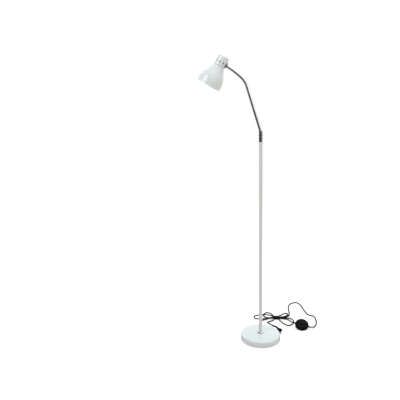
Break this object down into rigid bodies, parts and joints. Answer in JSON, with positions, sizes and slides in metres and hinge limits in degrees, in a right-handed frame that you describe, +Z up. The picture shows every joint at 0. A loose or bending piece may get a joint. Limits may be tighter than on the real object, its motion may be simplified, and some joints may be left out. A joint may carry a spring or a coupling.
{
  "type": "floor-standing examination lamp",
  "caption": "Floor-standing examination lamp with a round weighted base, tube pole, flexible gooseneck, bell shade with vented housing, and a cable with foot switch and plug.",
  "frame": {"origin": "on the floor under the pole axis", "axes": "+Z up along the pole, head reaches to -X, cable and foot switch lie to +X and +Y"},
  "size_m": [0.689, 0.6242, 1.6361],
  "materials": {
    "enamel": "gloss white enamel",
    "chrome": "polished chrome",
    "dark_chrome": "dark bright metal",
    "steel": "plain steel",
    "cast_iron": "cast",
    "brass": "plain brass",
    "rubber": "matt black",
    "black_plastic": "satin black",
    "white_plastic": "matt off-white",
    "opal_glass": "opal"
  },
  "bodies": {
    "stand": {"base_cover": "enamel", "base_weight": "cast_iron", "base_plate": "steel", "base_plug": "rubber", "foot_1": "rubber", "foot_2": "rubber", "foot_3": "rubber", "foot_4": "rubber", "base_stem": "steel", "base_washer": "steel", "base_nut": "steel", "pole_collar": "steel", "cable_grommet": "rubber", "terminal_block": "white_plastic", "pole_tube_lower": "enamel", "pole_tube_middle": "enamel", "pole_tube_upper": "enamel", "pole_foot_bush": "steel", "pole_coupler_lower": "steel", "pole_coupler_upper": "steel", "pole_top_bush": "white_plastic", "pole_lead": "black_plastic", "cable_lamp_side": "rubber", "cable_plug_side": "rubber", "cable_tie": "black_plastic", "plug_body": "black_plastic", "plug_pin_1": "chrome", "plug_pin_2": "chrome", "switch_base": "black_plastic", "switch_cover": "black_plastic", "switch_spring": "steel", "switch_block": "white_plastic", "switch_relief_left": "rubber", "switch_relief_right": "rubber"},
    "arm": {"ferrule": "dark_chrome", "ferrule_nut": "steel"},
    "neck_1": {"neck_link_1": "chrome"},
    "neck_2": {"neck_link_2": "chrome"},
    "neck_3": {"neck_link_3": "chrome"},
    "neck_4": {"neck_link_4": "chrome"},
    "neck_5": {"neck_link_5": "chrome"},
    "neck_6": {"neck_link_6": "chrome"},
    "neck_7": {"neck_link_7": "chrome"},
    "neck_8": {"neck_link_8": "chrome"},
    "neck_9": {"neck_link_9": "chrome", "neck_tip": "steel", "neck_flange": "dark_chrome", "neck_lock_nut": "steel"},
    "head": {"shade": "enamel", "shade_ring": "white_plastic", "rear_housing": "enamel", "housing_screw": "chrome", "holder_body": "black_plastic", "holder_shell": "brass", "holder_contact": "brass", "head_lead": "black_plastic"},
    "bulb": {"bulb_globe": "opal_glass", "bulb_cap": "brass", "bulb_contact": "brass"},
    "button": {"switch_button": "black_plastic"}
  },
  "joints": [
    {"name": "arm_swivel", "type": "hinge", "parent": "stand", "child": "arm", "pos_m": [0, 0, 1.1693], "axis": [0, 0, 1], "range_deg": [-170, 170]},
    {"name": "neck_bend_low_1", "type": "hinge", "parent": "arm", "child": "neck_1", "pos_m": [0, 0, 1.228], "axis": [0, -1, 0], "range_deg": [-24, 24]},
    {"name": "neck_sway_1", "type": "hinge", "parent": "neck_1", "child": "neck_2", "pos_m": [-0.01303, 0, 1.27061], "axis": [0.9563, 0, 0.2924], "range_deg": [-20, 20]},
    {"name": "neck_bend_low_2", "type": "hinge", "parent": "neck_2", "child": "neck_3", "pos_m": [-0.02605, 0, 1.31322], "axis": [0, -1, 0], "range_deg": [-24, 24]},
    {"name": "neck_sway_2", "type": "hinge", "parent": "neck_3", "child": "neck_4", "pos_m": [-0.03908, 0, 1.35583], "axis": [0.9563, 0, 0.2924], "range_deg": [-20, 20]},
    {"name": "neck_bend_high_1", "type": "hinge", "parent": "neck_4", "child": "neck_5", "pos_m": [-0.05211, 0, 1.39844], "axis": [0, -1, 0], "range_deg": [-24, 24]},
    {"name": "neck_sway_3", "type": "hinge", "parent": "neck_5", "child": "neck_6", "pos_m": [-0.06513, 0, 1.44104], "axis": [0.9513, 0, 0.3082], "range_deg": [-20, 20]},
    {"name": "neck_bend_high_2", "type": "hinge", "parent": "neck_6", "child": "neck_7", "pos_m": [-0.07955, 0, 1.48314], "axis": [0, -1, 0], "range_deg": [-24, 24]},
    {"name": "neck_sway_4", "type": "hinge", "parent": "neck_7", "child": "neck_8", "pos_m": [-0.10748, 0, 1.51748], "axis": [0.7283, 0, 0.6853], "range_deg": [-20, 20]},
    {"name": "neck_bend_high_3", "type": "hinge", "parent": "neck_8", "child": "neck_9", "pos_m": [-0.14046, 0, 1.54782], "axis": [0, -1, 0], "range_deg": [-24, 24]},
    {"name": "head_swivel", "type": "hinge", "parent": "neck_9", "child": "head", "pos_m": [-0.20886, 0, 1.59056], "axis": [-0.848, 0, 0.5299], "range_deg": [-120, 120]},
    {"name": "bulb_removal", "type": "slide", "parent": "head", "child": "bulb", "axis": [-0.5299, 0, -0.848], "range_m": [0, 0.028]},
    {"name": "switch_press", "type": "slide", "parent": "stand", "child": "button", "axis": [0, 0.4067, -0.9135], "range_m": [0, 0.0035], "stiffness_N_per_m": 600, "deforming": ["switch_spring"]}
  ],
  "couplings": [
    {"joint": "neck_bend_low_2", "follows": "neck_bend_low_1", "ratio": 1},
    {"joint": "neck_bend_high_2", "follows": "neck_bend_high_1", "ratio": 1},
    {"joint": "neck_bend_high_3", "follows": "neck_bend_high_1", "ratio": 1},
    {"joint": "neck_sway_2", "follows": "neck_sway_1", "ratio": 1},
    {"joint": "neck_sway_3", "follows": "neck_sway_1", "ratio": 1},
    {"joint": "neck_sway_4", "follows": "neck_sway_1", "ratio": 1}
  ]
}
